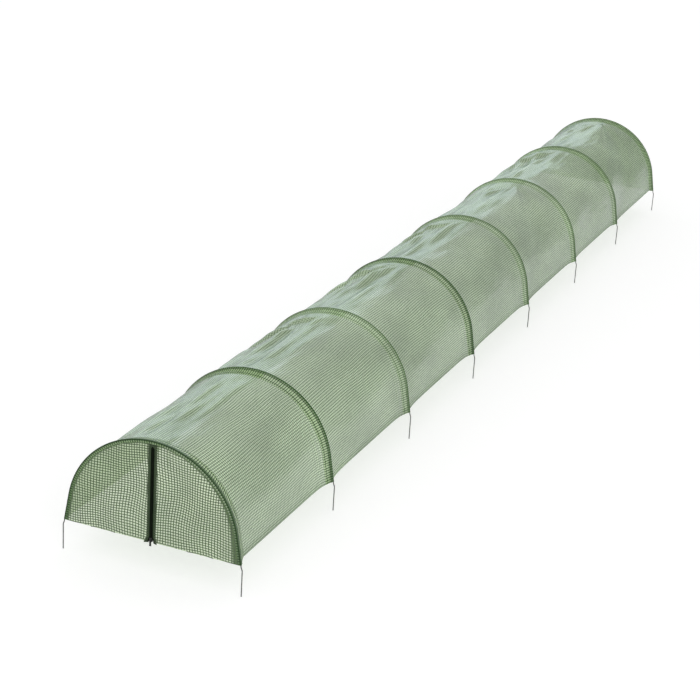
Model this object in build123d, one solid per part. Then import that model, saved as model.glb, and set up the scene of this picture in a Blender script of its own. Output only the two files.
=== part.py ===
from build123d import *
import os
from math import acos, asin, atan2, cos, degrees, hypot, pi, radians, sin, tan

# Low grow tunnel: a cover of reinforced film on wire hoops whose ends push into the soil.
# X runs across the tunnel, Y along it and Z up. The origin is on the ground, under its middle.
# All lengths are in millimetres and all angles in degrees.

# Tunnel, with its span and crown measured at the lower ends of the sleeves
hoop_count = 8
bay_pitch = 715
hoop_span = 650
crown_height = 355
side_lean = 10

# Wire hoops
wire_diameter = 4
wire_sides = 6
spike_length = 110
crank_lead = 8
crank_step = 4
crank_drop = 10
wire_bend_radius = 9

# Film cover and its hems
film_thickness = 0.5
film_drop = 9
film_sag = 8
sag_steps = 4
hem_lift = 14
hem_height = 18
seam_gap = 0.1

# Hoop sleeves
sleeve_lap = 42
sleeve_tuck = 16
pocket_flats = 2
wire_clearance = 0.3

# End panels and their zips
panel_slot = 12
tape_slot = 3
tape_width = 13
tape_thickness = 0.8
zip_top_gap = 4
chain_width = 5.2
chain_thickness = 1.6
chain_end_gap = 3

# Zip slider and puller
slider_length = 14
slider_nose_width = 11
slider_tail_width = 9.4
slider_plate = 1.2
slider_clearance = 0.3
slider_lift = 3
slider_corner_radius = 1.5
rail_width = 1.2
post_width = 2
post_length = 3
lug_width = 1.6
lug_length = 5
lug_stand = 1.7
lug_bore = 2.4
puller_width = 7
puller_length = 22
puller_thickness = 1.2
puller_bar = 1.2
puller_window_width = 4
puller_window_length = 5
puller_corner_radius = 1.2

# Arch line that every hoop, sleeve and film edge follows: a round crown on two straight leaning sides
lean = radians(side_lean)
half_span = hoop_span / 2
crown_radius = (half_span * cos(lean) - crown_height * sin(lean)) / (1 - sin(lean))
crown_centre = spike_length + crown_height - crown_radius
tunnel_length = bay_pitch * (hoop_count - 1)
hoop_places = [bay_pitch * number - tunnel_length / 2 for number in range(hoop_count)]
crown_arc = 180 - 2 * side_lean


def side_point(inset, lift):
    """Point on the right side, inside the wire's centre line by inset and up the slope by lift."""
    across = half_span - inset * cos(lean) - lift * sin(lean)
    up = spike_length - inset * sin(lean) + lift * cos(lean)
    return (across, up)


def mirrored(point):
    return (-point[0], point[1])


def shoulder(radius, centre):
    """Point where the right side runs into the crown."""
    return (radius * cos(lean), centre + radius * sin(lean))


def sagged_crown(inset, sag):
    """Radius and centre height of a crown that hangs lower by sag between the same straight sides."""
    radius = crown_radius - inset + sag * sin(lean) / (1 - sin(lean))
    centre = crown_centre - sag / (1 - sin(lean))
    return (radius, centre)


def arch_edges(inset, lift, sag):
    radius, centre = sagged_crown(inset, sag)
    foot = side_point(inset, lift)
    top = shoulder(radius, centre)
    right = Line(foot, top)
    crown = CenterArc((0, centre), radius, side_lean, crown_arc)
    left = Line(mirrored(top), mirrored(foot))
    return [right, crown, left]


def upright(shape):
    """Stand a drawing up, so that its own Y becomes the tunnel's Z."""
    return Plane.XZ * shape


# Wire hoop: one bent wire with a small outward crank below each sleeve and a round ground spike.
# The bent length is a bar of few sides, and the straight spikes are true round wire.
def hoop():
    crank_top = side_point(0, -crank_lead)
    spike_top = (crank_top[0] + crank_step, crank_top[1] - crank_drop)
    bend_reach = wire_bend_radius * tan(atan2(crank_step, crank_drop) / 2)
    spike_end = (spike_top[0], spike_top[1] - bend_reach)
    top = shoulder(crown_radius, crown_centre)
    leg = [(spike_top[0], 0), spike_top, crank_top, top]
    right = FilletPolyline(*leg, radius=wire_bend_radius).edges().sort_by(Axis.Y)[1:]
    crown = CenterArc((0, crown_centre), crown_radius, side_lean, crown_arc)
    left = [edge.mirror(Plane.YZ) for edge in right]
    path = upright(Wire([*right, *crown.edges(), *left]))
    start = Plane(origin=(spike_end[0], 0, spike_end[1]), z_dir=(0, 0, 1))
    wire = sweep(start * RegularPolygon(wire_diameter / 2, wire_sides), path=path)
    spike = extrude(Plane(origin=(spike_end[0], 0, 0)) * Circle(wire_diameter / 2), spike_end[1])
    return wire + spike + mirror(spike, about=Plane.YZ)


# Hoop sleeve: a strip of film folded over the wire, with a skirt on each side sloping down to the cover
def skirt_turn(reach):
    """Angle through which the film turns from the top of the fold to a skirt with this reach."""
    fold = wire_diameter / 2 + wire_clearance + film_thickness
    return atan2(film_drop, reach) + asin(fold / hypot(film_drop, reach))


def fold_corners(radius, front_turn, back_turn):
    """Corners of the flats that lie round the wire between the two skirts."""
    step = (front_turn + back_turn) / (pocket_flats + 1)
    turns = [step * (number + 1 / 2) - front_turn for number in range(pocket_flats + 1)]
    corner = radius / cos(step / 2)
    return [(corner * cos(turn), corner * sin(turn)) for turn in turns]


def sleeve_section(front, back):
    bore = wire_diameter / 2 + wire_clearance
    turns = (skirt_turn(front), skirt_turn(back))
    lining_drop = film_drop + film_thickness
    lining_front = front - film_thickness * tan(turns[0] / 2)
    lining_back = back - film_thickness * tan(turns[1] / 2)
    outside = [(-film_drop, -front), *fold_corners(bore + film_thickness, *turns), (-film_drop, back)]
    inside = [(-lining_drop, -lining_front), *fold_corners(bore, *turns), (-lining_drop, lining_back)]
    return make_face(Polyline(*outside, *reversed(inside), close=True))


def sleeve(front, back):
    foot = side_point(0, 0)
    start = Plane(
        origin=(foot[0], 0, foot[1]),
        x_dir=(cos(lean), 0, sin(lean)),
        z_dir=(-sin(lean), 0, cos(lean)),
    )
    path = upright(Wire([edge for line in arch_edges(0, 0, 0) for edge in line.edges()]))
    return sweep(start * sleeve_section(front, back), path=path)


# Film bay: the cover between two sleeves, straight at the sides and sagging along the ridge
def film_section(place, sag):
    outside = arch_edges(film_drop, hem_lift, sag)
    inside = arch_edges(film_drop + film_thickness, hem_lift, sag)
    right_hem = Line(inside[0] @ 0, outside[0] @ 0)
    left_hem = Line(outside[-1] @ 1, inside[-1] @ 1)
    face = make_face([*outside, left_hem, *inside, right_hem])
    return Pos(0, place, 0) * upright(face)


def film_bay(front, back):
    length = back - front
    shares = [step / sag_steps for step in range(sag_steps + 1)]
    sections = [
        film_section(front + length * share, film_sag * 4 * share * (1 - share))
        for share in shares
    ]
    return loft(sections, ruled=True)


# Side hem: the film's bottom edge turned in, a flat strip along the inside of each side
def film_point(inset, lift):
    """Point of the right side where the film sags most, up the slope by lift and on round the crown."""
    radius, centre = sagged_crown(inset, film_sag)
    foot = side_point(inset, 0)
    top = shoulder(radius, centre)
    past = lift - hypot(top[0] - foot[0], top[1] - foot[1])
    if past < 0:
        return side_point(inset, lift)
    turn = lean + past / radius
    return (radius * cos(turn), centre + radius * sin(turn))


def side_hem():
    near = film_drop + film_thickness + seam_gap
    far = near + film_thickness
    hem_top = hem_lift + hem_height
    outline = Polyline(
        film_point(near, hem_lift),
        film_point(near, hem_top),
        film_point(far, hem_top),
        film_point(far, hem_lift),
        close=True,
    )
    reach = tunnel_length / 2 - film_thickness - seam_gap
    return extrude(upright(make_face(outline)), reach, both=True)


# End panel: half of the flat arch that closes an end, from the zip to the end sleeve
panel_inset = film_drop + film_thickness + seam_gap
panel_radius = crown_radius - panel_inset
panel_foot = side_point(panel_inset, 0)
panel_bottom = panel_foot[1]
panel_top = crown_centre + panel_radius


def end_panel():
    slot_edge = panel_slot / 2
    slot_angle = degrees(acos(slot_edge / panel_radius))
    crown = CenterArc((0, crown_centre), panel_radius, side_lean, slot_angle - side_lean)
    slot_bottom = (slot_edge, panel_bottom)
    outline = [
        Line(panel_foot, crown @ 0),
        crown,
        Line(crown @ 1, slot_bottom),
        Line(slot_bottom, panel_foot),
    ]
    face = Pos(0, hoop_places[0], 0) * upright(make_face(outline))
    return extrude(face, film_thickness / 2, both=True)


# Zip: a tape on each panel's edge with the closed chain in front of both, all on the outside
tape_back = hoop_places[0] - film_thickness / 2
tape_front = tape_back - tape_thickness
chain_front = tape_front - chain_thickness
zip_top = panel_top - zip_top_gap
slider_bottom = panel_bottom + slider_lift
chain_bottom = slider_bottom + post_length + slider_clearance
chain_top = zip_top - chain_end_gap


def slab(low, high):
    """Block between two opposite corners."""
    size = [upper - lower for lower, upper in zip(low, high)]
    return Pos(*low) * Box(*size, align=Align.MIN)


def zip_tape():
    near = tape_slot / 2
    return slab((near, tape_front, panel_bottom), (near + tape_width, tape_back, zip_top))


def zip_chain():
    edge = chain_width / 2
    return slab((-edge, chain_front, chain_bottom), (edge, tape_front, chain_top))


# Zip slider: two plates joined by a post at the open end, with rails beside the chain and a lug in front
plate_back = chain_front - slider_clearance
plate_front = plate_back - slider_plate
rail_back = tape_front - slider_clearance
rear_front = tape_back + slider_clearance
rear_back = rear_front + slider_plate
rail_inside = chain_width / 2 + slider_clearance
lug_bottom = slider_bottom + (slider_length - lug_length) / 2
bar_level = lug_bottom + lug_length / 2
bar_place = plate_front - lug_stand


def slider_plate_at(front, back):
    nose = slider_nose_width / 2
    tail = slider_tail_width / 2
    slider_top = slider_bottom + slider_length
    outline = Polyline(
        (-nose, slider_bottom),
        (nose, slider_bottom),
        (tail, slider_top),
        (-tail, slider_top),
        close=True,
    )
    face = make_face(outline)
    face = fillet(face.vertices(), slider_corner_radius)
    return extrude(Pos(0, back, 0) * upright(face), back - front)


def slider_lug():
    near = (-lug_width / 2, bar_place, lug_bottom)
    foot = slab(near, (lug_width / 2, plate_front, lug_bottom + lug_length))
    across = Plane(origin=(-lug_width / 2, bar_place, bar_level), z_dir=(1, 0, 0))
    eye = extrude(across * Circle(lug_length / 2), lug_width)
    eye -= slab(near, (lug_width / 2, bar_place + lug_length, lug_bottom + lug_length))
    bore = extrude(across * Circle(lug_bore / 2), lug_width)
    return foot + eye - bore


def zip_slider():
    slider_top = slider_bottom + slider_length
    body = slider_plate_at(plate_front, plate_back) + slider_plate_at(rear_front, rear_back)
    body += slab(
        (-post_width / 2, plate_back, slider_bottom),
        (post_width / 2, rear_front, slider_bottom + post_length),
    )
    rail_low = slider_bottom + slider_corner_radius
    rail_high = slider_top - slider_corner_radius
    rail_outside = rail_inside + rail_width
    for near, far in ((rail_inside, rail_outside), (-rail_outside, -rail_inside)):
        body += slab((near, plate_back, rail_low), (far, rail_back, rail_high))
    return body + slider_lug()


# Zip puller: a flat tab that hangs from the lug by the bar across its window
def zip_puller():
    puller_top = bar_level + puller_bar / 2
    tab = Pos(0, puller_top - puller_length / 2) * Rectangle(puller_width, puller_length)
    tab = fillet(tab.vertices(), puller_corner_radius)
    window_middle = puller_top - puller_bar - puller_window_length / 2
    tab -= Pos(0, window_middle) * Rectangle(puller_window_width, puller_window_length)
    face = Pos(0, bar_place, 0) * upright(tab)
    return extrude(face, puller_thickness / 2, both=True)


# Each sleeve's wide skirt lies towards the front, its short one behind the wire.
# An end sleeve has its wide skirt on the tunnel's side and closes flat against the end panel.
nodes = {}
hoop_shape = hoop()
end_skirts = (sleeve_lap, film_thickness)
skirts = [(film_thickness, sleeve_lap)] + [(sleeve_lap, sleeve_tuck)] * (hoop_count - 2) + [end_skirts]
inner_sleeve = sleeve(sleeve_lap, sleeve_tuck)
end_sleeve = sleeve(*end_skirts)
sleeve_shapes = [Rot(0, 0, 180) * end_sleeve] + [inner_sleeve] * (hoop_count - 2) + [end_sleeve]
for number, place in enumerate(hoop_places, 1):
    nodes[f"hoop_{number}"] = Pos(0, place, 0) * hoop_shape
    nodes[f"hoop_sleeve_{number}"] = Pos(0, place, 0) * sleeve_shapes[number - 1]
for number in range(1, hoop_count):
    front = hoop_places[number - 1] + skirts[number - 1][1]
    back = hoop_places[number] - skirts[number][0]
    nodes[f"film_bay_{number}"] = film_bay(front, back)

hem_shape = side_hem()
nodes["right_hem"] = hem_shape
nodes["left_hem"] = mirror(hem_shape, about=Plane.YZ)

# Both ends close alike: the back end is the front end turned half round
end_pieces = {
    "panel_right": end_panel(),
    "panel_left": mirror(end_panel(), about=Plane.YZ),
    "zip_tape_right": zip_tape(),
    "zip_tape_left": mirror(zip_tape(), about=Plane.YZ),
    "zip_chain": zip_chain(),
    "zip_slider": zip_slider(),
    "zip_puller": zip_puller(),
}
other_side = {"panel_right": "panel_left", "panel_left": "panel_right"}
other_side |= {"zip_tape_right": "zip_tape_left", "zip_tape_left": "zip_tape_right"}
for name, piece in end_pieces.items():
    nodes[f"front_{name}"] = piece
    nodes[f"back_{other_side.get(name, name)}"] = Rot(0, 0, 180) * piece

os.makedirs("parts", exist_ok=True)
for name, shape in nodes.items():
    export_step(shape, f"parts/{name}.step")
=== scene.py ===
from math import asin, atan2, cos, hypot, pi, radians, sin, tan

import bpy
import numpy as np
from mathutils import Matrix, Vector


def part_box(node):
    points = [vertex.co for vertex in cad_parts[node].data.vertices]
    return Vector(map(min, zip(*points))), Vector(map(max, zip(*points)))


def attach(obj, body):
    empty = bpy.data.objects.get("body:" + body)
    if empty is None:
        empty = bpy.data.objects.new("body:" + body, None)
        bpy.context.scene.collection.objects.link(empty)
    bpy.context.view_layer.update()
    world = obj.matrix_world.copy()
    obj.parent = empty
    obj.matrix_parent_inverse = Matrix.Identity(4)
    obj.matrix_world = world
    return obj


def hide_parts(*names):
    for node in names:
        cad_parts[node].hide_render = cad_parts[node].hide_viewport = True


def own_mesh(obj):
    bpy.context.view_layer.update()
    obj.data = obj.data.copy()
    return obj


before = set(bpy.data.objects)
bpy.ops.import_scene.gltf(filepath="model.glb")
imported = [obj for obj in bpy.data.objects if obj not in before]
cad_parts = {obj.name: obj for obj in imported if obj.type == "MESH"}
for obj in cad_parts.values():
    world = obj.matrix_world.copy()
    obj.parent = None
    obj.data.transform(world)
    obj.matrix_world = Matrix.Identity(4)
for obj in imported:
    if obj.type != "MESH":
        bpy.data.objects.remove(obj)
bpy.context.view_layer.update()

bpy.context.scene.view_settings.view_transform = "Standard"


# Camera
# It stands to the right of the front end and looks down along the tunnel, a little rolled,
# with a long lens and no shift. Its place was fitted to the hoop ends in a 700 pixel image.
image_pixels = 700
focal_pixels = 1849.85
sensor_mm = 36
camera_azimuth = radians(22.433)
camera_elevation = radians(21.3)
camera_roll = radians(3.579)
camera_place = Vector((2.591, -7.199, 2.895))

level_reach = cos(camera_elevation)
camera_back = Vector(
    (sin(camera_azimuth) * level_reach, -cos(camera_azimuth) * level_reach, sin(camera_elevation))
)
level_right = Vector((cos(camera_azimuth), sin(camera_azimuth), 0))
level_up = camera_back.cross(level_right)
camera_right = level_right * cos(camera_roll) + level_up * sin(camera_roll)
camera_up = level_up * cos(camera_roll) - level_right * sin(camera_roll)
camera_lens = bpy.data.cameras.new("photo_camera")
camera_lens.sensor_width = sensor_mm
camera_lens.lens = focal_pixels * sensor_mm / image_pixels
camera_lens.clip_end = 200
camera = bpy.data.objects.new("photo_camera", camera_lens)
turned = Matrix((camera_right, camera_up, camera_back)).transposed().to_4x4()
camera.matrix_world = Matrix.Translation(camera_place) @ turned
bpy.context.collection.objects.link(camera)
bpy.context.scene.camera = camera


# Studio floor and light
# A wide white floor under soft even light, with one broad lamp high on the left behind the tunnel
# and a low soft light, also behind on the left, that glances off the upper film. A square fill light
# brightens the front end. The floor shows itself white to the camera and keeps a soft shadow.
floor_reach = 60.0
floor_white = (0.97, 0.97, 0.97, 1)
floor_glow_share = 0.55
floor_glow_strength = 1.2
sky_strength = 0.93
sky_in_gloss = 0.45
lamp_strength = 0.22
lamp_spread = radians(105)
lamp_direction = Vector((0.56, -0.5, -0.66))
glance_strength = 0.23
glance_spread = radians(34)
glance_direction = Vector((0.45, -0.86, -0.2))
glance_tint = (0.78, 0.97, 1)
fill_watts = 38
fill_size = 2.0
fill_place = Vector((2.6, -5.2, 2.4))
fill_aim = Vector((0.2, -2.0, 0.2))


def feed(tree, node, inputs):
    """Sets a node's inputs to constants, or links them to a socket or to another node's first socket."""
    for key, value in inputs.items():
        if isinstance(value, bpy.types.Node):
            value = value.outputs[0]
        if isinstance(value, bpy.types.NodeSocket):
            tree.links.new(value, node.inputs[key])
        else:
            node.inputs[key].default_value = value


def add(tree, kind, inputs=None, **settings):
    """Adds a node with its settings and feeds its inputs."""
    node = tree.nodes.new(kind)
    for name, value in settings.items():
        setattr(node, name, value)
    feed(tree, node, inputs or {})
    return node


def seen_background(tree):
    """1 for what the camera or clear material shows of the background, else 0."""
    path = add(tree, "ShaderNodeLightPath")
    rays = {0: path.outputs["Is Camera Ray"], 1: path.outputs["Is Transmission Ray"]}
    return add(tree, "ShaderNodeMath", rays, operation="MAXIMUM")


def scaled(tree, value, factor):
    """A value times a constant."""
    return add(tree, "ShaderNodeMath", {0: value, 1: factor}, operation="MULTIPLY")


def mixed(tree, first, second, share):
    """Two shaders mixed, by the share of the second."""
    return add(tree, "ShaderNodeMixShader", {0: share, 1: first, 2: second})


def plain_finish(name):
    """A new material, its node tree and its main shader."""
    finish = bpy.data.materials.new(name)
    finish.use_nodes = True
    tree = finish.node_tree
    return finish, tree, tree.nodes["Principled BSDF"]


floor_finish, floor_tree, _ = plain_finish("studio_floor")
floor_tree.nodes.clear()
floor_matt = add(floor_tree, "ShaderNodeBsdfDiffuse", {"Color": floor_white})
floor_glow = add(floor_tree, "ShaderNodeEmission", {"Strength": floor_glow_strength})
floor_share = scaled(floor_tree, seen_background(floor_tree), floor_glow_share)
floor_look = mixed(floor_tree, floor_matt, floor_glow, floor_share)
add(floor_tree, "ShaderNodeOutputMaterial", {"Surface": floor_look})

floor_mesh = bpy.data.meshes.new("studio_floor")
floor_corners = [(-1, -1), (1, -1), (1, 1), (-1, 1)]
floor_mesh.from_pydata([(x * floor_reach, y * floor_reach, 0) for x, y in floor_corners], [], [range(4)])
floor_mesh.materials.append(floor_finish)
floor = bpy.data.objects.new("studio_floor", floor_mesh)
bpy.context.collection.objects.link(floor)

world = bpy.data.worlds.new("studio_light")
bpy.context.scene.world = world
world.use_nodes = True
sky_tree = world.node_tree
sky_tree.nodes.clear()
sky_path = add(sky_tree, "ShaderNodeLightPath")
sky_range = {0: sky_path.outputs["Is Glossy Ray"], 1: sky_in_gloss - sky_strength, 2: sky_strength}
sky_level = add(sky_tree, "ShaderNodeMath", sky_range, operation="MULTIPLY_ADD")
sky_light = add(sky_tree, "ShaderNodeBackground", {"Strength": sky_level})
sky_seen = add(sky_tree, "ShaderNodeBackground", {"Color": (1, 1, 1, 1)})
sky_look = mixed(sky_tree, sky_light, sky_seen, seen_background(sky_tree))
add(sky_tree, "ShaderNodeOutputWorld", {"Surface": sky_look})


def far_lamp(name, strength, spread, direction, tint):
    """A lamp so far off that its light comes evenly from one direction."""
    light = bpy.data.lights.new(name, "SUN")
    light.energy = strength
    light.angle = spread
    light.color = tint
    lamp = bpy.data.objects.new(name, light)
    lamp.rotation_euler = direction.to_track_quat("-Z", "Y").to_euler()
    bpy.context.collection.objects.link(lamp)


far_lamp("broad_lamp", lamp_strength, lamp_spread, lamp_direction, (1, 1, 1))
far_lamp("glancing_lamp", glance_strength, glance_spread, glance_direction, glance_tint)

fill_light = bpy.data.lights.new("front_fill", "AREA")
fill_light.energy = fill_watts
fill_light.size = fill_size
fill = bpy.data.objects.new("front_fill", fill_light)
fill.location = fill_place
fill.rotation_euler = (fill_aim - fill_place).to_track_quat("-Z", "Y").to_euler()
fill.visible_camera = False
bpy.context.collection.objects.link(fill)


# Wire hoops
# Eight hoops of 4 mm galvanised steel wire, each bent to an arch on two straight leaning legs.
# Under the film each leg cranks outwards and runs on as a straight spike with a plain cut end.
wire_radius = 0.002
wire_bend = 0.009
hoop_span = 0.65
crown_height = 0.355
spike_length = 0.11
side_lean = radians(10)
crank_lead = 0.008
crank_drop = 0.01
crown_steps = 49
dark_zinc = (0.1, 0.102, 0.098, 1)
pale_zinc = (0.25, 0.252, 0.245, 1)
hoop_numbers = range(1, 9)
hoop_boxes = [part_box(f"hoop_{number}") for number in hoop_numbers]
hoop_places = [(low[1] + high[1]) / 2 for low, high in hoop_boxes]
spike_across = hoop_boxes[0][1][0] - wire_radius
half_span = hoop_span / 2
crown_radius = (half_span * cos(side_lean) - crown_height * sin(side_lean)) / (1 - sin(side_lean))
crown_centre = spike_length + crown_height - crown_radius


def arch_sizes(inset, lift, sag=0.0):
    """A foot's height, the crown's radius and centre, a straight side's length and the whole arch line's."""
    slack = 1 - sin(side_lean)
    radius = crown_radius - inset + sag * sin(side_lean) / slack
    centre = crown_centre - sag / slack
    foot_up = spike_length - inset * sin(side_lean) + lift * cos(side_lean)
    side = (centre + radius * sin(side_lean) - foot_up) / cos(side_lean)
    return foot_up, radius, centre, side, 2 * side + radius * (pi - 2 * side_lean)


def arch(share, inset, lift, sag=0.0):
    """Across, up and the outward direction along the arch line, from its right foot (0) to its left (1)."""
    foot_up, radius, centre, side, whole = arch_sizes(inset, lift, sag)
    foot_across = half_span - inset * cos(side_lean) - lift * sin(side_lean)
    run = np.minimum(share, 1 - share) * whole
    turn = side_lean + np.maximum(run - side, 0) / radius
    on_side = run < side
    across = np.where(on_side, foot_across - run * sin(side_lean), radius * np.cos(turn))
    up = np.where(on_side, foot_up + run * cos(side_lean), centre + radius * np.sin(turn))
    hand = np.where(share > 0.5, -1, 1)
    return across * hand, up, np.cos(turn) * hand, np.sin(turn)


def arch_length(inset, lift):
    """Length of the arch line from foot to foot."""
    return arch_sizes(inset, lift)[-1]


def rounded(corner, before, after, steps=6):
    """Points of an arc of the wire's bend radius that rounds off one corner of a leg."""
    come = (corner - before).normalized()
    leave = (after - corner).normalized()
    half_turn = come.angle(leave) / 2
    start = corner - come * (wire_bend * tan(half_turn))
    inward = (leave - come).normalized()
    middle = corner + inward * (wire_bend / cos(half_turn))
    spoke = start - middle
    other = come * wire_bend
    turns = [2 * half_turn * step / steps for step in range(steps + 1)]
    return [middle + spoke * cos(turn) + other * sin(turn) for turn in turns]


def wire_route():
    """Points of the right half of a hoop, from the spike's end to the crown."""
    crank_top = Vector((half_span + crank_lead * sin(side_lean), spike_length - crank_lead * cos(side_lean)))
    spike_top = Vector((spike_across, crank_top.y - crank_drop))
    spike_end = Vector((spike_across, 0))
    crown_shares = np.linspace(0, 0.5, crown_steps)
    across, up, _, _ = arch(crown_shares, 0, 0)
    arch_points = [Vector(point) for point in zip(across, up)]
    bends = rounded(spike_top, spike_end, crank_top) + rounded(crank_top, spike_top, arch_points[0])
    return [spike_end] + bends + arch_points


def object_place(tree):
    """The place on a piece, in its own coordinates."""
    return add(tree, "ShaderNodeTexCoord").outputs["Object"]


def noise(tree, place, scale, detail):
    """Cloudy noise over a place."""
    return add(tree, "ShaderNodeTexNoise", {"Vector": place, "Scale": scale, "Detail": detail})


def two_tones(tree, value, tones, stops=(0, 1)):
    """A colour that goes from one tone to another between two stops of a value."""
    ramp = add(tree, "ShaderNodeValToRGB", {"Fac": value})
    for element, tone, stop in zip(ramp.color_ramp.elements, tones, stops):
        element.position = stop
        element.color = tone
    return ramp


def relief(tree, height, strength, distance):
    """A shader's normal with fine relief by a height."""
    return add(tree, "ShaderNodeBump", {"Height": height, "Strength": strength, "Distance": distance})


def galvanised_finish():
    """Dull zinc with a fine spangle, darker where it has weathered."""
    finish, tree, metal = plain_finish("galvanised_wire")
    place = object_place(tree)
    tone = two_tones(tree, noise(tree, place, 45, 4), (dark_zinc, pale_zinc), (0.3, 0.72))
    spangle = add(tree, "ShaderNodeTexVoronoi", {"Vector": place, "Scale": 900})
    rough_range = {"Value": spangle.outputs["Color"], "To Min": 0.32, "To Max": 0.55}
    rough = add(tree, "ShaderNodeMapRange", rough_range)
    fine = relief(tree, spangle.outputs["Distance"], 0.25, 0.0002)
    feed(tree, metal, {"Metallic": 0.85, "Base Color": tone, "Roughness": rough, "Normal": fine})
    return finish


wire_finish = galvanised_finish()
half_route = wire_route()
whole_route = half_route + [Vector((-point.x, point.y)) for point in reversed(half_route[:-1])]
for number, place in zip(hoop_numbers, hoop_places):
    wire_line = bpy.data.curves.new(f"wire_hoop_{number}", "CURVE")
    wire_line.dimensions = "3D"
    wire_line.bevel_depth = wire_radius
    wire_line.bevel_resolution = 2
    wire_line.use_fill_caps = True
    spline = wire_line.splines.new("POLY")
    spline.points.add(len(whole_route) - 1)
    for knot, point in zip(spline.points, whole_route):
        knot.co = (point.x, place, point.y, 1)
    bent = bpy.data.objects.new(f"wire_line_{number}", wire_line)
    wire_mesh = bpy.data.meshes.new_from_object(bent)
    bpy.data.objects.remove(bent)
    wire_mesh.materials.append(wire_finish)
    hoop = bpy.data.objects.new(f"wire_hoop_{number}", wire_mesh)
    bpy.context.collection.objects.link(hoop)
    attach(hoop, "tunnel")
    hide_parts(f"hoop_{number}")


# Hoop sleeves
# A strip of reinforced film is folded over each wire and sewn down close beside it, so the wire lies
# in a pocket. Its skirts slope down to the cover, a wide one in front of the wire and a short one behind,
# with close dark ribs of doubled thread. Five of the sleeves are drawn tight, so their doubled band is
# narrower; their film, pocket and ribs are coloured paler, which is painted light.
film_drop = 0.009
film_gauge = 0.0005
fold_radius = 0.0027
sleeve_lap = 0.042
sleeve_tuck = 0.016
skirt_hollow = 0.0016
end_skirt_rise = 0.014
inner_skirt_rise = 0.003
skirt_pucker = 0.0007
fine_puckers = 37
broad_puckers = 9
pocket_seam = 0.0115
sleeve_columns = 129
skirt_steps = 12
fold_steps = 5
end_hoops = (1, 8)
rib_pitch = 0.0089
rib_width = 0.0028
rib_points = 33
rib_gloss_share = 0.3
round_pitch = 0.02
thread_depth = 0.0001
thread_glow_share = 0.4
rib_green = (0.02, 0.06, 0.012, 1)
pocket_green = (0.095, 0.185, 0.07, 1)
skirt_green = (0.42, 0.6, 0.29, 1)
pocket_reach = 0.016
tight_painted_light_hoops = (3, 5, 6, 7, 8)
# Paler copies of the sleeve colours for the tight sleeves: painted light, not a different film.
tight_rib_green_painted_light = (0.085, 0.15, 0.06, 1)
tight_pocket_green_painted_light = (0.115, 0.215, 0.08, 1)
tight_skirt_green_painted_light = (0.52, 0.7, 0.4, 1)
tight_pocket_reach = 0.01
foot_gather_share = 1.1
foot_gather_height = 0.13
sleeve_clear_share = 0.2
sleeve_milky_share = 0.4
sleeve_gloss_share = 0.25
clear_tint = (0.95, 0.985, 0.94, 1)
sheen_share = 0.35
sheen_tint = (0.7, 0.95, 1, 1)
stitch_length = 0.0042
stitch_pitch = 0.0065
stitch_radius = 0.0006
stitch_green = (0.16, 0.22, 0.12, 1)
sleeve_run = arch_length(0, 0)
skirts = [(film_gauge, sleeve_lap)] + [(sleeve_lap, sleeve_tuck)] * 6 + [(sleeve_lap, film_gauge)]


def film_sheet(name, places, finish, weave=None):
    """A sheet through a grid of places, with a weave map of shares along the rows and the columns."""
    rows, columns = places.shape[:2]
    if weave is None:
        weave = np.stack(np.meshgrid(np.linspace(0, 1, rows), np.linspace(0, 1, columns), indexing="ij"), -1)
    index = np.arange(rows * columns).reshape(rows, columns)
    corners = np.stack([index[:-1, :-1], index[1:, :-1], index[1:, 1:], index[:-1, 1:]], -1).reshape(-1, 4)
    mesh = bpy.data.meshes.new(name)
    mesh.from_pydata(places.reshape(-1, 3).tolist(), [], corners.tolist())
    weave_map = mesh.uv_layers.new(name="weave")
    weave_map.data.foreach_set("uv", weave.reshape(-1, 2)[corners.ravel()].astype(np.float32).ravel())
    mesh.polygons.foreach_set("use_smooth", np.ones(len(mesh.polygons), bool))
    mesh.materials.append(finish)
    sheet = bpy.data.objects.new(name, mesh)
    bpy.context.collection.objects.link(sheet)
    return sheet


def drawn_out(tree, place, scale):
    """A place with its axes scaled, so that a pattern over it is drawn out."""
    return add(tree, "ShaderNodeMapping", {"Vector": place, "Scale": scale})


def satin_gloss(tree, shader, place, gloss_share):
    """The soft shine of the film and its threads, with fine crinkles drawn out along the tunnel."""
    crinkles = relief(tree, noise(tree, drawn_out(tree, place, (1, 0.15, 1)), 18, 4), 0.7, 0.01)
    shine = {
        "Roughness": 0.24,
        "Specular IOR Level": gloss_share,
        "Coat Weight": gloss_share,
        "Coat Roughness": 0.14,
        "Sheen Weight": sheen_share * gloss_share,
        "Sheen Roughness": 0.3,
        "Sheen Tint": sheen_tint,
        "Normal": crinkles,
        "Coat Normal": crinkles,
    }
    feed(tree, shader, shine)


def toned(colour, factor):
    """A colour made darker or lighter."""
    return [min(1, part * factor) for part in colour[:3]] + [1]


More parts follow.
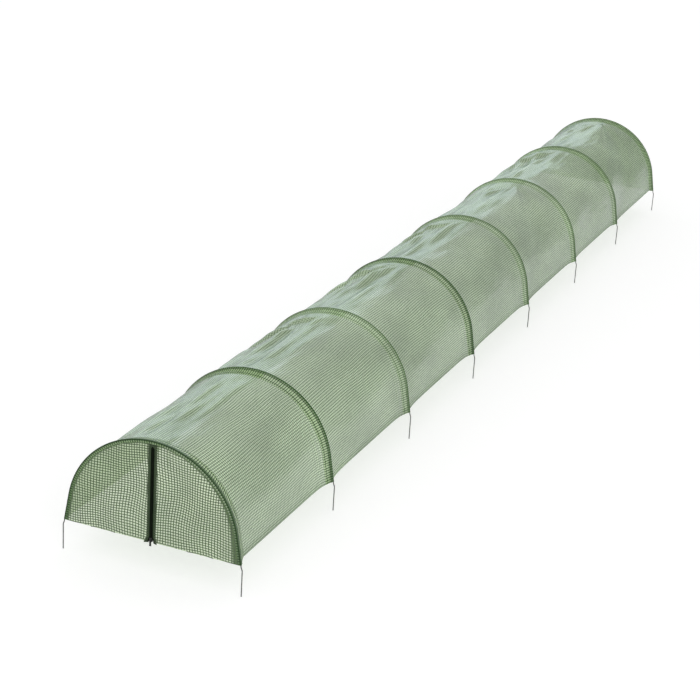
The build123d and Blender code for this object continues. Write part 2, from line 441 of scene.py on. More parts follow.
def film_finish(name, tint, clear_share, milky_share, gloss_share=1, fold_tint=None):
    """Thin satin plastic: part clear, part milky, with faint clouding and fine crinkles.

    With a fold tint it takes that colour, and is not clear, where the film is doubled.
    """
    finish, tree, satin = plain_finish(name)
    place = object_place(tree)
    cloud = noise(tree, drawn_out(tree, place, (1, 0.5, 1)), 6, 5)
    colour = two_tones(tree, cloud, (toned(tint, 0.72), toned(tint, 1.24)), (0.25, 0.75))
    if fold_tint:
        distance = add(tree, "ShaderNodeAttribute", attribute_name="fold_distance")
        grade_range = {"Value": distance.outputs["Fac"], "From Min": 0.1}
        grade = add(tree, "ShaderNodeMapRange", grade_range, interpolation_type="SMOOTHSTEP")
        tints = {"Factor": grade, "A": fold_tint, "B": colour}
        colour = add(tree, "ShaderNodeMix", tints, data_type="RGBA").outputs["Result"]
        clear_share = scaled(tree, grade, clear_share)
    satin_gloss(tree, satin, place, gloss_share)
    feed(tree, satin, {"Base Color": colour})
    milky = add(tree, "ShaderNodeBsdfTranslucent", {"Color": colour})
    clear = add(tree, "ShaderNodeBsdfTransparent", {"Color": clear_tint})
    whole = mixed(tree, mixed(tree, satin, milky, milky_share), clear, clear_share)
    feed(tree, tree.nodes["Material Output"], {"Surface": whole})
    return finish


def thread_finish(name, colour, gloss_share):
    """Flat green plastic tape that lets some light through, lighter and darker from place to place."""
    finish, tree, tape = plain_finish(name)
    place = object_place(tree)
    patch = noise(tree, place, 130, 3)
    shade = two_tones(tree, patch, (toned(colour, 0.75), toned(colour, 1.25)), (0.3, 0.7))
    satin_gloss(tree, tape, place, gloss_share)
    feed(tree, tape, {"Base Color": shade})
    glow = add(tree, "ShaderNodeBsdfTranslucent", {"Color": shade})
    feed(tree, tree.nodes["Material Output"], {"Surface": mixed(tree, tape, glow, thread_glow_share)})
    return finish


def grade_folds(sheet, distances):
    """Keeps each point's distance from where the film is doubled, 1 where a single layer begins."""
    fold_map = sheet.data.attributes.new("fold_distance", "FLOAT", "POINT")
    fold_map.data.foreach_set("value", distances.astype(np.float32).ravel())


def new_tree(name, kinds):
    """An empty tree of geometry nodes, with inputs of the kinds that are named, and those inputs' sockets."""
    tree = bpy.data.node_groups.new(name, "GeometryNodeTree")
    for socket, kind in kinds.items():
        tree.interface.new_socket(socket, in_out="INPUT", socket_type=f"NodeSocket{kind}")
    tree.interface.new_socket("Pieces", in_out="OUTPUT", socket_type="NodeSocketGeometry")
    return tree, add(tree, "NodeGroupInput").outputs


def end_tree(tree, shapes, finish):
    """Ends a tree with its shapes made real, in one material."""
    real = add(tree, "GeometryNodeRealizeInstances", {0: shapes})
    coloured = add(tree, "GeometryNodeSetMaterial", {"Geometry": real, "Material": finish})
    add(tree, "NodeGroupOutput", {0: coloured})


def scrim_tree():
    """Geometry nodes that lay two crossing sets of flat threads over a sheet, by its weave map."""
    kinds = {"Sheet": "Geometry", "Thread width": "Float", "Thread depth": "Float"}
    kinds |= {f"{course} {count}": "Int" for course in ("Long", "Cross") for count in ("threads", "points")}
    tree, given = new_tree("reinforcing_scrim", kinds | {"Thread finish": "Material"})
    weave = add(tree, "GeometryNodeInputNamedAttribute", {"Name": "weave"}, data_type="FLOAT_VECTOR")
    place = add(tree, "GeometryNodeInputPosition")
    facing = add(tree, "GeometryNodeInputNormal")
    sampled = {"Mesh": given["Sheet"], "UV Map": weave, "Sample UV": place}
    where, upward = [
        add(tree, "GeometryNodeSampleUVSurface", sampled | {"Value": value}, data_type="FLOAT_VECTOR")
        for value in (place, facing)
    ]
    join = add(tree, "GeometryNodeJoinGeometry")
    margin = 0.0005
    for course, lead, run in (("Long", "Y", Vector((1, 0, 0))), ("Cross", "X", Vector((0, 1, 0)))):
        count = given[f"{course} threads"]
        step = add(tree, "ShaderNodeMath", {0: 1, 1: count}, operation="DIVIDE")
        start = add(tree, "ShaderNodeCombineXYZ", {lead: scaled(tree, step, 0.5)})
        offset = add(tree, "ShaderNodeCombineXYZ", {lead: step})
        beds = add(tree, "GeometryNodeMeshLine", {"Count": count, "Start Location": start, "Offset": offset})
        ends = {"Start": run * margin, "End": run * (1 - margin)}
        line = add(tree, "GeometryNodeCurvePrimitiveLine", ends)
        divided = add(tree, "GeometryNodeResampleCurve", {"Curve": line, "Count": given[f"{course} points"]})
        laid = add(tree, "GeometryNodeInstanceOnPoints", {"Points": beds, "Instance": divided})
        feed(tree, join, {0: add(tree, "GeometryNodeRealizeInstances", {0: laid})})
    off_sheet = add(tree, "FunctionNodeBooleanMath", {0: where.outputs["Is Valid"]}, operation="NOT")
    trimming = {"Geometry": join, "Selection": off_sheet}
    trim = add(tree, "GeometryNodeDeleteGeometry", trimming, domain="POINT")
    flat_side = {0: trim, "Normal": upward.outputs["Value"]}
    turned = add(tree, "GeometryNodeSetCurveNormal", flat_side, mode="FREE")
    on_sheet = {"Geometry": turned, "Position": where.outputs["Value"]}
    section = add(tree, "GeometryNodeCurvePrimitiveLine")
    for side, share in (("Start", 0.5), ("End", -0.5)):
        corner = {"X": given["Thread depth"], "Y": scaled(tree, given["Thread width"], share)}
        feed(tree, section, {side: add(tree, "ShaderNodeCombineXYZ", corner)})
    swept = {"Curve": add(tree, "GeometryNodeSetPosition", on_sheet), "Profile Curve": section}
    end_tree(tree, add(tree, "GeometryNodeCurveToMesh", swept), given["Thread finish"])
    return tree


def grown(name, source, tree, sizes):
    """Runs a tree on a source mesh and leaves its result as a plain piece."""
    piece = bpy.data.objects.new(name, source)
    bpy.context.collection.objects.link(piece)
    maker = piece.modifiers.new(tree.name, "NODES")
    maker.node_group = tree
    for socket in tree.interface.items_tree:
        if socket.name in sizes:
            maker[socket.identifier] = sizes[socket.name]
    evaluated = piece.evaluated_get(bpy.context.evaluated_depsgraph_get())
    mesh = bpy.data.meshes.new_from_object(evaluated)
    piece.modifiers.remove(maker)
    piece.data = mesh
    mesh.name = name
    return piece


def threads_on(name, sheet, long, cross, width, finish):
    """The threads of one sheet as a piece of their own, by the counts of threads and of their points."""
    sizes = {
        "Long threads": long[0],
        "Long points": long[1],
        "Cross threads": cross[0],
        "Cross points": cross[1],
        "Thread width": width,
        "Thread depth": thread_depth,
        "Thread finish": finish,
    }
    net = grown(name, sheet.data, scrim, sizes)
    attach(net, "tunnel")
    return net


def stitch_tree():
    """Geometry nodes that set a short fat stitch at even steps along every edge line of a mesh."""
    kinds = {"Seam": "Geometry", "Stitch pitch": "Float", "Stitch length": "Float", "Stitch radius": "Float"}
    tree, given = new_tree("sewn_stitches", kinds | {"Stitch finish": "Material"})
    seam = add(tree, "GeometryNodeMeshToCurve", {0: given["Seam"]})
    spacing = {"Curve": seam, "Length": given["Stitch pitch"]}
    steps = add(tree, "GeometryNodeCurveToPoints", spacing, mode="LENGTH")
    ball = add(tree, "GeometryNodeMeshUVSphere", {"Segments": 6, "Rings": 4, "Radius": 1})
    radius = given["Stitch radius"]
    half_length = scaled(tree, given["Stitch length"], 0.5)
    size = add(tree, "ShaderNodeCombineXYZ", {"X": radius, "Y": radius, "Z": half_length})
    sewn = {"Points": steps, "Instance": ball, "Rotation": steps.outputs["Rotation"], "Scale": size}
    end_tree(tree, add(tree, "GeometryNodeInstanceOnPoints", sewn), given["Stitch finish"])
    return tree


def yarn_finish(name, colour):
    """Spun sewing thread, paler and darker along its twist."""
    finish, tree, yarn = plain_finish(name)
    twist = noise(tree, object_place(tree), 700, 2)
    shade = two_tones(tree, twist, (toned(colour, 0.6), toned(colour, 1.35)))
    feed(tree, yarn, {"Roughness": 0.6, "Base Color": shade})
    return finish


def sewn_row(name, lines):
    """One piece of stitches along several lines of places."""
    points = [point for line in lines for point in line]
    edges = []
    start = 0
    for line in lines:
        edges += [(start + step, start + step + 1) for step in range(len(line) - 1)]
        start += len(line)
    seam = bpy.data.meshes.new(name)
    seam.from_pydata(points, edges, [])
    sizes = {
        "Stitch pitch": stitch_pitch,
        "Stitch length": stitch_length,
        "Stitch radius": stitch_radius,
        "Stitch finish": seam_finish,
    }
    row = grown(name, seam, stitches, sizes)
    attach(row, "tunnel")
    return row


def skirt_profile(reach):
    """Out from the wire's centre and along from it, from a skirt's foot up to the top of the fold."""
    turn = atan2(film_drop, reach) + asin(fold_radius / hypot(film_drop, reach))
    climb = np.linspace(0, 1, skirt_steps)
    hollow = skirt_hollow * np.sin(pi * climb) ** 2 * min(1, reach / sleeve_lap)
    out = -film_drop + (fold_radius * cos(turn) + film_drop) * climb - hollow
    along = reach + (fold_radius * sin(turn) - reach) * climb
    over = np.linspace(turn, 0, fold_steps)[1:]
    out = np.concatenate([out, fold_radius * np.cos(over)])
    along = np.concatenate([along, fold_radius * np.sin(over)])
    return np.stack([out, along], -1)


def sleeve_profile(front, back):
    """Profile from the front foot over the wire to the back foot."""
    rising = skirt_profile(front) * (1, -1)
    falling = skirt_profile(back)[-2::-1]
    return np.concatenate([rising, falling])


def on_hoop(place, out, along, shares, number):
    """Places beside one hoop's wire, with small puckers in the skirts and their ends cut up to the hem."""
    foot_rise = end_skirt_rise if number in end_hoops else inner_skirt_rise
    off_wire = np.abs(along) / sleeve_lap
    cut = foot_rise / sleeve_run * off_wire
    shares = cut + (1 - 2 * cut) * shares
    across, up, out_across, out_up = arch(shares, 0, 0)
    slack = 4 * np.clip(off_wire, 0, 1) * np.clip(1.15 - off_wire, 0, 1)
    pucker = np.sin(2 * pi * shares * fine_puckers + number)
    pucker = pucker * np.sin(2 * pi * shares * broad_puckers + 2 * number)
    out = out + skirt_pucker * pucker * slack
    x = across + out_across * out
    z = up + out_up * out
    return np.stack(np.broadcast_arrays(x, place + along, z), -1)


scrim = scrim_tree()
stitches = stitch_tree()
seam_finish = yarn_finish("sewing_thread", stitch_green)
sleeve_look = (sleeve_clear_share, sleeve_milky_share, sleeve_gloss_share)
loose_finish = film_finish("sleeve_film", skirt_green, *sleeve_look, pocket_green)
loose_rib_finish = thread_finish("sleeve_thread", rib_green, rib_gloss_share)
# The tight sleeves' paler film and threads are painted light.
tight_painted_light_finish = film_finish("tight_sleeve_film_painted_light", tight_skirt_green_painted_light, *sleeve_look, tight_pocket_green_painted_light)
tight_rib_painted_light_finish = thread_finish("tight_sleeve_thread_painted_light", tight_rib_green_painted_light, rib_gloss_share)
ribs = (round(sleeve_run / rib_pitch), rib_points)
sleeve_shares = np.linspace(0, 1, sleeve_columns)
for number, place, (front, back) in zip(hoop_numbers, hoop_places, skirts):
    pocket, sleeve_finish, rib_finish = pocket_reach, loose_finish, loose_rib_finish
    if number in tight_painted_light_hoops:
        pocket, sleeve_finish, rib_finish = tight_pocket_reach, tight_painted_light_finish, tight_rib_painted_light_finish
    profile = sleeve_profile(front, back)
    profile_steps = np.hypot(*np.diff(profile, axis=0).T)
    sleeve_width = float(np.sum(profile_steps))
    lap_shares = np.concatenate([[0], np.cumsum(profile_steps)]) / sleeve_width
    sleeve_weave = np.stack(np.meshgrid(lap_shares, sleeve_shares, indexing="ij"), -1)
    places = on_hoop(place, profile[:, :1], profile[:, 1:], sleeve_shares[None, :], number)
    sleeve = film_sheet(f"sleeve_{number}", places, sleeve_finish, sleeve_weave)
    from_fold = np.abs(lap_shares - lap_shares[np.argmax(profile[:, 0])]) * sleeve_width
    seam_side = -1 if front > film_gauge else 1
    from_foot = np.minimum(sleeve_shares, 1 - sleeve_shares) * sleeve_run
    gathered = 1 + foot_gather_share * np.exp(-((from_foot / foot_gather_height) ** 2))
    grade_folds(sleeve, from_fold[:, None] / (pocket * gathered)[None, :])
    rounds = (round(sleeve_width / round_pitch), sleeve_columns)
    net = threads_on(f"sleeve_scrim_{number}", sleeve, ribs, rounds, rib_width, rib_finish)
    wide = skirt_profile(sleeve_lap)
    seam_out = float(np.interp(-pocket_seam, -wide[:, 1], wide[:, 0])) + thread_depth
    seam_line = on_hoop(place, np.array(seam_out), np.array(seam_side * pocket_seam), sleeve_shares, number)
    row = sewn_row(f"sleeve_stitches_{number}", [seam_line.tolist()])
    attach(sleeve, "tunnel")
    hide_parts(f"hoop_sleeve_{number}")


# Film bays
# The cover between two hoops: thin green film, partly clear, with the reinforcing threads in it, sewn to
# the sleeves' feet. It sags along the ridge and has the soft folds of a cover that is not quite taut.
film_green = (0.65, 0.82, 0.54, 1)
thread_green = (0.14, 0.212, 0.115, 1)
film_clear_share = 0.16
film_milky_share = 0.32
film_sag = 0.008
film_tuck = 0.0013
hem_lift = 0.014
hem_draw = 0.011
hem_draw_reach = 0.035
film_rows = 81
film_columns = 161
thread_pitch_around = 0.0089
thread_pitch_along = 0.0098
thread_width = 0.0026
cover_wander = 0.0035
sewn_reach = 0.06
edge_reach = 0.05
ridge_fold_height = 0.0052
ridge_fold_wave = 0.085
ridge_crease_wave = 0.047
slow_fold_height = 0.002
fan_bays = (2, 3, 4, 6)
fan_reach = 0.3
fan_height = 0.009
fan_crease_height = 0.0024
pulled_bays = (5, 7)
pulled_height = 0.0085
pulled_bearing = -0.36
pulled_crease_height = 0.0034
pulled_ridge_share = 0.55
gather_height = 0.0026
gather_wave = 0.034
gather_reach = 0.05
seam_pucker_height = 0.0006
seam_pucker_reach = 0.03
bay_numbers = range(1, 8)
bay_boxes = {number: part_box(f"film_bay_{number}") for number in bay_numbers}
bay_front = {number: low[1] for number, (low, high) in bay_boxes.items()}
bay_length = {number: high[1] - low[1] for number, (low, high) in bay_boxes.items()}
film_run = arch_length(film_drop, hem_lift)


def rise(value, reach):
    """0 at the edge, 1 once well past the reach."""
    return 1 - np.exp(-((value / reach) ** 2))


def bump(value, middle, spread):
    """A smooth hill of height 1."""
    return np.exp(-(((value - middle) / spread) ** 2))


def film_folds(number, along, around):
    """How far the film stands out from its sagging arch, by shares along the bay and around the arch."""
    from_front = along * bay_length[number]
    from_back = (1 - along) * bay_length[number]
    from_crown = (around - 0.5) * film_run
    sewn = rise(from_front, sewn_reach) * rise(from_back, sewn_reach)
    free = rise(around * film_run, edge_reach) * rise((1 - around) * film_run, edge_reach)
    drift = 1.4 * np.sin(2 * pi * along * 0.8 + number)
    ridge_folds = np.cos(2 * pi * from_crown / ridge_fold_wave + drift + 2.3 * number)
    ridge_folds = ridge_folds + 0.4 * np.cos(2 * pi * from_crown / ridge_crease_wave - 1.3 * drift + number)
    ridge_folds = ridge_fold_height * ridge_folds * bump(around, 0.6, 0.11)
    slow = np.sin(2 * pi * (along * 1.3 + around * 2.1) + 1.9 * number)
    slow = slow_fold_height * (slow + np.sin(2 * pi * (along * 0.9 - around * 3.2) + 0.7 * number))
    reach = np.hypot(from_crown, from_back)
    bearing = np.arctan2(from_crown, from_back)
    swell = reach / fan_reach * np.exp(1 - reach / fan_reach)
    fan = np.zeros_like(along)
    if number in fan_bays:
        fan = fan_height * swell * np.cos(11 * bearing + 0.8 * number) * bump(bearing, 0.75, 0.5)
        fan += fan_crease_height * swell * np.cos(31 * bearing + 1.7 * number) * bump(bearing, 0.7, 0.45)
    if number in pulled_bays:
        spread = np.where(bearing > pulled_bearing, 0.34, 0.1)
        fan = pulled_height * swell * (bump(bearing, pulled_bearing, spread) - bump(bearing, -0.66, 0.2))
        fan += pulled_crease_height * swell * np.cos(19 * bearing + number) * bump(bearing, 0.35, 0.4)
        ridge_folds = pulled_ridge_share * ridge_folds
    gathers = np.cos(2 * pi * from_back / gather_wave) * np.exp(-from_back / gather_reach)
    gathers = gather_height * gathers * bump(around, 0.12, 0.13) * rise(from_back, 0.01)
    puckers = np.sin(2 * pi * around * 47 + number) * np.sin(2 * pi * around * 11)
    near_seam = np.exp(-from_front / seam_pucker_reach) + np.exp(-from_back / seam_pucker_reach)
    puckers = seam_pucker_height * puckers * near_seam
    return (ridge_folds + slow + fan) * sewn * free + gathers * free + puckers * sewn


def hem_line(number, along):
    """How far up the slope the film's bottom edge lies: it draws down to the sleeves of the inner hoops."""
    from_front = along * bay_length[number]
    from_back = (1 - along) * bay_length[number]
    front_draw = np.exp(-from_front / hem_draw_reach) if number > 1 else 0
    back_draw = np.exp(-from_back / hem_draw_reach) if number < 7 else 0
    return hem_lift - hem_draw * (front_draw + back_draw)


def film_places(number, along, around, stand=0.0):
    """Places on one bay's film, stood off outwards."""
    sag = film_sag * 4 * along * (1 - along)
    across, up, out_across, out_up = arch(around, film_drop, hem_line(number, along), sag)
    out = film_folds(number, along, around) + stand
    deep = bay_front[number] - film_tuck + along * (bay_length[number] + 2 * film_tuck)
    return np.stack(np.broadcast_arrays(across + out_across * out, deep, up + out_up * out), -1)


def cover_weave(number, along, around):
    """Weave map of a bay: shares along and around it, with threads that wander a little between its edges."""
    inner = np.sin(pi * along) * np.sin(pi * around)
    along_wander = np.sin(2 * pi * (3.1 * around + 0.7 * along) + number)
    around_wander = np.sin(2 * pi * (1.6 * along + 2.3 * around) + 2 * number)
    along_share = along + cover_wander / bay_length[number] * inner * along_wander
    around_share = around + cover_wander / film_run * inner * around_wander
    return np.stack([along_share, around_share], -1)


cover_finish = film_finish("cover_film", film_green, film_clear_share, film_milky_share)
scrim_finish = thread_finish("cover_thread", thread_green, 1)
for number in bay_numbers:
    along, around = np.meshgrid(np.linspace(0, 1, film_rows), np.linspace(0, 1, film_columns), indexing="ij")
    places = film_places(number, along, around)
    bay = film_sheet(f"cover_film_{number}", places, cover_finish, cover_weave(number, along, around))
    lines_around = (round(film_run / thread_pitch_around), film_rows)
    lines_along = (round(bay_length[number] / thread_pitch_along), film_columns)
    net = threads_on(f"cover_scrim_{number}", bay, lines_around, lines_along, thread_width, scrim_finish)
    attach(bay, "tunnel")
    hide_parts(f"film_bay_{number}")


# Side hems
# Along each side the film's bottom edge is turned in and sewn down with one row of stitches,
# so the edge is two layers thick. It draws down to the foot of each inner sleeve.
hem_height = 0.018
hem_front = 0.003
hem_round = 0.0012
hem_edge_share = 0.6
hem_stand = 0.0012
hem_seam = 0.013
hem_steps = 41
hem_seam_steps = 61
hem_green = (0.5, 0.58, 0.45, 1)
hem_clear_share = 0.5
hem_milky_share = 0.45


def hem_places(side_share):
    """Grid of a folded hem over all the bays: outside, round the bottom edge and up the inside."""
    outside = [hem_front, hem_front / 2, 0.0]
    inside = [0.0, hem_height / 3, hem_height * 2 / 3, hem_height]
    climb = outside + [-hem_round, -hem_round] + inside
    edge_stand = hem_stand * hem_edge_share
    stand = [hem_stand] * len(outside) + [edge_stand, -edge_stand] + [-hem_stand] * len(inside)
    columns = []
    for number in bay_numbers:
        steps = np.linspace(0, 1, hem_steps)[: None if number == bay_numbers[-1] else -1]
        strip = []
        for lift, off in zip(climb, stand):
            share = lift / film_run if side_share == 0 else 1 - lift / film_run
            strip.append(film_places(number, steps, np.full_like(steps, share), off))
        columns.append(np.stack(strip))
    return np.concatenate(columns, axis=1)


hem_finish = film_finish("hem_film", hem_green, hem_clear_share, hem_milky_share)
hem_sides = {"right_hem": 0, "left_hem": 1}
for node, side_share in hem_sides.items():
    side_name = node.split("_")[0]
    places = hem_places(side_share)
    hem = film_sheet(f"hem_film_{side_name}", places if side_share == 0 else places[:, ::-1], hem_finish)
    row_share = abs(side_share - hem_seam / film_run)
    seam_lines = []
    for number in bay_numbers:
        steps = np.linspace(0, 1, hem_seam_steps)
        seam_lines.append(film_places(number, steps, np.full_like(steps, row_share), thread_depth).tolist())
    row = sewn_row(f"hem_stitches_{side_name}", seam_lines)
    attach(hem, "tunnel")
    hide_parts(node)


# End panels
# Each end is closed by a flat arch of the same film in two halves with the zip between them. They hang
# a little slack from the end sleeve, by a doubled seam that widens at the foot. At the bottom of the
# slit the edges spread in a small notch, and higher up they are bound over the zip tapes.
panel_inset = 0.0083
panel_slot = 0.006
panel_thread_width = 0.0031
panel_green = (0.67, 0.85, 0.51, 1)
panel_thread_green = (0.07, 0.128, 0.042, 1)
panel_seam_green = (0.085, 0.175, 0.04, 1)
panel_seam_solid_share = 0.35
panel_seam_low = {"right": 0.035, "left": 0.011}
panel_seam_high = 0.008
panel_seam_steps = 161
panel_clear_share = 0.26
panel_wander = 0.0045
zip_hold = 0.035
arch_hold = 0.12
side_hold = 0.1
foot_hold = 0.3
panel_slack = 0.0022
panel_slack_wave = 0.135
panel_slant_wave = (0.21, 0.3)
level_waves = ((0.31, 0.52, 1), (0.17, -0.3, 0.5))
upright_waves = ((-0.6, 0.36, 1), (0.4, 0.19, 0.4))
notch_height = 0.019
notch_spread = 0.0072
notch_round = 0.7
notch_ease = 0.03
panel_rows = 44
panel_columns = 48
level_points = 76
upright_points = 86
other_hand = {"right": "left", "left": "right"}
panel_plane = hoop_places[0]
panel_run = arch_length(panel_inset, 0)
panel_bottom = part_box("front_panel_right")[0][2]
panel_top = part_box("front_panel_right")[1][2]


def front_end(places, hand, end):
    """Right-hand places of the front end as those of either hand, at either end of the tunnel."""
    placed = places.copy()
    if hand == "left":
        placed[..., 0] *= -1
        placed = placed[::-1]
    if end == "back":
        placed[..., :2] *= -1
    return placed


def notch_opening(z):
    """How far the panel's slit spreads to each side at its foot, in a small round notch under the slider."""
    return notch_spread * np.clip((panel_bottom + notch_height - z) / notch_height, 0, 1) ** notch_round


def panel_places(phase):
    """Grid of a half panel, from the slot to the side and from the bottom edge to the arch."""
    slot_share = 0.5 - panel_slot / panel_run
    shares = slot_share * (1 - np.linspace(0, 1, panel_rows)[:, None])
    across, up, _, _ = arch(shares, panel_inset, 0)
    foot = across[-1, 0]
    climb = np.linspace(0, 1, panel_columns)[None, :]
    bottom_across = panel_slot + (foot - panel_slot) * (1 - shares / slot_share)
    x = bottom_across + (across - bottom_across) * climb
    z = panel_bottom + (up - panel_bottom) * climb
    loose = rise(x - panel_slot, zip_hold) * rise(1 - climb, arch_hold) * rise(1 - (x / foot), side_hold)
    loose = loose * rise(climb + 0.05, foot_hold)
    slant = x / panel_slant_wave[0] + z / panel_slant_wave[1]
    slack = np.sin(2 * pi * x / panel_slack_wave + phase) + 0.6 * np.sin(2 * pi * slant + 2 * phase)
    y = panel_plane - panel_slack * slack * loose
    x = x + notch_opening(z) * np.exp(-(x - panel_slot) / notch_ease)
    return np.stack(np.broadcast_arrays(x, y, z), -1)


def seam_distance(places, foot_width):
    """Distance from the arch, where the panel is doubled over in a seam that is widest at the foot."""
    across, up, _, _ = arch(np.linspace(0, 1, panel_seam_steps), panel_inset, 0)
    from_arch = np.hypot(np.abs(places[..., :1]) - across, places[..., 2:] - up).min(axis=-1)
    climb = (places[..., 2] - panel_bottom) / (panel_top - panel_bottom)
    seam_width = foot_width + (panel_seam_high - foot_width) * np.sqrt(np.clip(climb, 0, 1))
    return (from_arch / seam_width - panel_seam_solid_share) / (1 - panel_seam_solid_share)


def planar_weave(places):
    """Weave map of a panel: shares of its width and height, with threads that wander a little."""
    flat = places[..., [0, 2]]
    x, z = np.abs(flat[..., 0]), flat[..., 1]
    wander = []
    for waves in (upright_waves, level_waves):
        wander.append(sum(share * np.sin(2 * pi * (x / wide + z / high)) for wide, high, share in waves))
    flat = flat + panel_wander * np.stack(wander, -1)
    low = flat.min(axis=(0, 1))
    high = flat.max(axis=(0, 1))
    return (flat - low) / (high - low)


panel_look = (panel_clear_share, film_milky_share, 1)
panel_finish = film_finish("panel_film", panel_green, *panel_look, panel_seam_green)
panel_scrim_finish = thread_finish("panel_thread", panel_thread_green, 1)
for end, end_sleeve in (("front", 1), ("back", 8)):
    for hand, phase in (("right", 0.4), ("left", 1.9)):
        places = front_end(panel_places(phase), hand, end)
        shown_hand = hand if end == "front" else other_hand[hand]
        panel = film_sheet(f"{end}_panel_film_{shown_hand}", places, panel_finish, planar_weave(places))
        grade_folds(panel, seam_distance(places, panel_seam_low[hand]))
        width = float(np.ptp(places[..., 0]))
        uprights = (round(width / thread_pitch_along), upright_points)
        levels = (round((panel_top - panel_bottom) / thread_pitch_around), level_points)
        net_name = f"{end}_panel_scrim_{shown_hand}"
        net = threads_on(net_name, panel, levels, uprights, panel_thread_width, panel_scrim_finish)
        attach(panel, "tunnel")
        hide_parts(f"{end}_panel_{shown_hand}")


# Zip tapes
# Two woven black tapes run up the slit of each end panel, a few millimetres apart behind the teeth, and
# meet at the top. A strip of film, sewn on with one row of stitches, binds each one's outer edge to the
# panel. Their lower ends curl apart.
tape_low, tape_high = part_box("front_zip_tape_right")
tape_front = tape_low[1]
teeth_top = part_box("front_zip_chain")[1][2]
tape_curl = 0.005
tape_flare_height = 0.024
tape_tail = 0.002
tape_top_close = 0.008
tape_columns = 8
tape_rows = 64
tape_wave_height = 0.0004
tape_wave = 0.047
ribbon_stand = -0.0004
tape_black = (0.004, 0.008, 0.003, 1)
tape_grey = (0.011, 0.018, 0.009, 1)
binding_near = 0.0066
binding_width = 0.0102
binding_stand = 0.0006
binding_seam_row = 5
binding_seam_start = 4
binding_green = (0.05, 0.08, 0.038, 1)
binding_clear_share = 0.06
binding_milky_share = 0.2
binding_gloss_share = 0.15


def tape_places(near, width, stand):
    """Grid of an upright strip beside the zip, from its inner edge outwards and from its tail upwards."""
    out = np.linspace(0, 1, tape_columns)[:, None]
    climb = (1 - np.cos(pi * np.linspace(0, 1, tape_rows)[None, :])) / 2
    z = panel_bottom - tape_tail + (panel_top - panel_bottom + tape_tail) * climb
    loose = np.clip((panel_bottom + tape_flare_height - z) / (tape_flare_height + tape_tail), 0, 1) ** 2
    open_share = np.clip((teeth_top - z) / tape_top_close, 0, 1)
    reach = near * open_share + (width + near * (1 - open_share)) * out
    x = reach + notch_opening(z)
    lean = reach / (binding_near + binding_width)
    wave = tape_wave_height * np.sin(2 * pi * z / tape_wave) * lean
    y = tape_front - stand - tape_curl * loose * lean**2 - wave
    return np.stack(np.broadcast_arrays(x, y, z), -1)


def tape_finish():
    """Black woven ribbon: a fine twill across the tape, a little green in the light."""
    finish, tree, cloth = plain_finish("zip_tape_weave")
    slant = add(tree, "ShaderNodeMapping", {"Vector": object_place(tree), "Rotation": (0, radians(38), 0)})
    twill = add(tree, "ShaderNodeTexWave", {"Vector": slant, "Scale": 420, "Distortion": 0.6}).outputs["Fac"]
    ribbon_look = {
        "Roughness": 0.75,
        "Specular IOR Level": 0.04,
        "Base Color": two_tones(tree, twill, (tape_black, tape_grey)),
        "Normal": relief(tree, twill, 0.5, 0.0003),
    }
    feed(tree, cloth, ribbon_look)
    return finish


ribbon_finish = tape_finish()
binding_look = (binding_clear_share, binding_milky_share, binding_gloss_share)
binding_finish = film_finish("zip_binding_film", binding_green, *binding_look)
tape_near = tape_low[0]
tape_width = min(tape_high[0], binding_near + binding_width) - tape_near
for end in ("front", "back"):
    for hand in ("right", "left"):
        shown_hand = hand if end == "front" else other_hand[hand]
        ribbon_grid = front_end(tape_places(tape_near, tape_width, ribbon_stand), hand, end)
        ribbon = film_sheet(f"{end}_zip_ribbon_{shown_hand}", ribbon_grid, ribbon_finish)
        binding_grid = front_end(tape_places(binding_near, binding_width, binding_stand), hand, end)
        binding = film_sheet(f"{end}_zip_binding_{shown_hand}", binding_grid, binding_finish)
        seam_grid = tape_places(binding_near, binding_width, binding_stand + stitch_radius)
        seam_line = seam_grid[binding_seam_row : binding_seam_row + 1, binding_seam_start:]
        seam_line = front_end(seam_line, hand, end)[0]
        row = sewn_row(f"{end}_zip_stitches_{shown_hand}", [seam_line.tolist()])
        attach(ribbon, "tunnel")
        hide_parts(f"{end}_zip_tape_{shown_hand}")
        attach(binding, "tunnel")


# Zip teeth
# Two rows of moulded black teeth, one on each tape's inner edge, meshed from the slider up.
chain_low, chain_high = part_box("front_zip_chain")
tooth_pitch = 0.0017
tooth_radius = 0.0008
tooth_reach = 0.0032
tooth_row_share = 0.36
tooth_black = (0.003, 0.006, 0.002, 1)
tooth_grey = (0.009, 0.013, 0.007, 1)
tooth_rough = 0.7
tooth_gloss_share = 0.08
chain_depth = (chain_low[1] + chain_high[1]) / 2


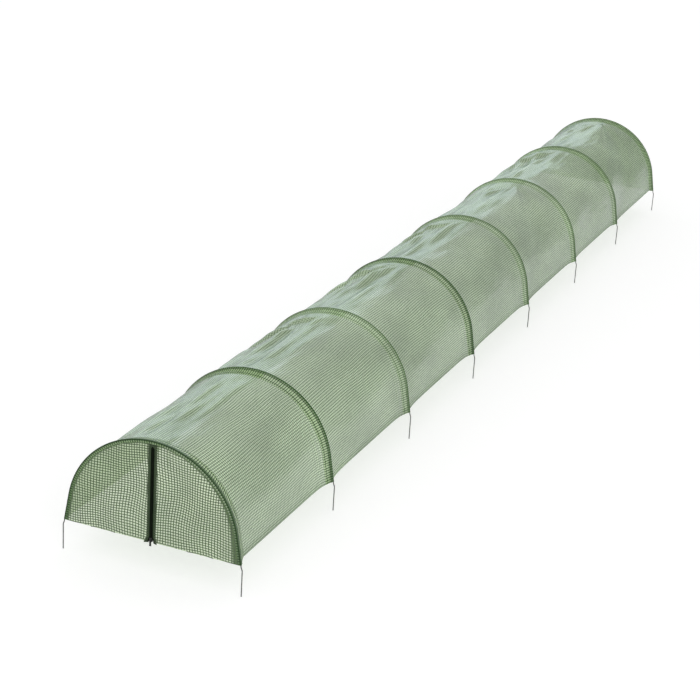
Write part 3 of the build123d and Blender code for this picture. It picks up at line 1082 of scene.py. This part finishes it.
def tooth_tree():
    """Geometry nodes for two rows of round teeth up the zip, set half a pitch apart."""
    kinds = {"Start": "Geometry", "Teeth": "Int", "Pitch": "Float", "Radius": "Float", "Reach": "Float"}
    tree, given = new_tree("zip_teeth", kinds | {"Place": "Vector", "Tooth finish": "Material"})
    bar = {"Vertices": 8, "Radius": given["Radius"], "Depth": given["Reach"]}
    tooth = add(tree, "GeometryNodeMeshCylinder", bar)
    step = add(tree, "ShaderNodeCombineXYZ", {"Z": given["Pitch"]})
    join = add(tree, "GeometryNodeJoinGeometry")
    for hand in (-1, 1):
        aside = scaled(tree, given["Reach"], tooth_row_share * hand)
        up = scaled(tree, given["Pitch"], 0.25 * (hand + 1))
        shift = add(tree, "ShaderNodeCombineXYZ", {"X": aside, "Z": up})
        start = add(tree, "ShaderNodeVectorMath", {0: given["Place"], 1: shift})
        line = {"Count": given["Teeth"], "Start Location": start, "Offset": step}
        row = add(tree, "GeometryNodeMeshLine", line)
        set_in = {"Points": row, "Instance": tooth, "Rotation": (0, pi / 2, 0)}
        feed(tree, join, {0: add(tree, "GeometryNodeInstanceOnPoints", set_in)})
    end_tree(tree, join, given["Tooth finish"])
    return tree


def enamel_finish(name, dark, light, rough, gloss_share):
    """Black coating with fine speckle, and worn a touch paler in patches."""
    finish, tree, coat = plain_finish(name)
    wear = noise(tree, object_place(tree), 380, 5)
    rough_range = {"Value": wear, "To Min": rough - 0.08, "To Max": rough + 0.12}
    enamel_look = {
        "Specular IOR Level": gloss_share,
        "Base Color": two_tones(tree, wear, (dark, light), (0.4, 0.75)),
        "Roughness": add(tree, "ShaderNodeMapRange", rough_range),
    }
    feed(tree, coat, enamel_look)
    return finish


teeth = tooth_tree()
tooth_finish = enamel_finish("zip_tooth", tooth_black, tooth_grey, tooth_rough, tooth_gloss_share)
tooth_count = int((chain_high[2] - chain_low[2] - tooth_radius * 2) / tooth_pitch)
for end, turn in (("front", 1), ("back", -1)):
    seed = bpy.data.meshes.new(f"{end}_zip_start")
    sizes = {
        "Teeth": tooth_count,
        "Pitch": tooth_pitch,
        "Radius": tooth_radius,
        "Reach": tooth_reach,
        "Place": (0, chain_depth * turn, chain_low[2] + tooth_radius),
        "Tooth finish": tooth_finish,
    }
    chain = grown(f"{end}_zip_teeth", seed, teeth, sizes)
    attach(chain, "tunnel")
    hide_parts(f"{end}_zip_chain")
    if end == "front":
        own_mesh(chain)


# Zip sliders and pullers
# Die-cast sliders that ride on the teeth, each with a flat tab hung in its lug for pulling.
# They are coated in black enamel that is worn a touch paler in patches.
enamel_black = (0.009, 0.01, 0.009, 1)
enamel_grey = (0.05, 0.052, 0.05, 1)
enamel_rough = 0.32
enamel_gloss_share = 0.3
slider_look = (enamel_black, enamel_grey, enamel_rough, enamel_gloss_share)
slider_finish = enamel_finish("zip_slider_enamel", *slider_look)
for end in ("front", "back"):
    for part in ("slider", "puller"):
        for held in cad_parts[f"{end}_zip_{part}"].material_slots:
            held.material = slider_finish
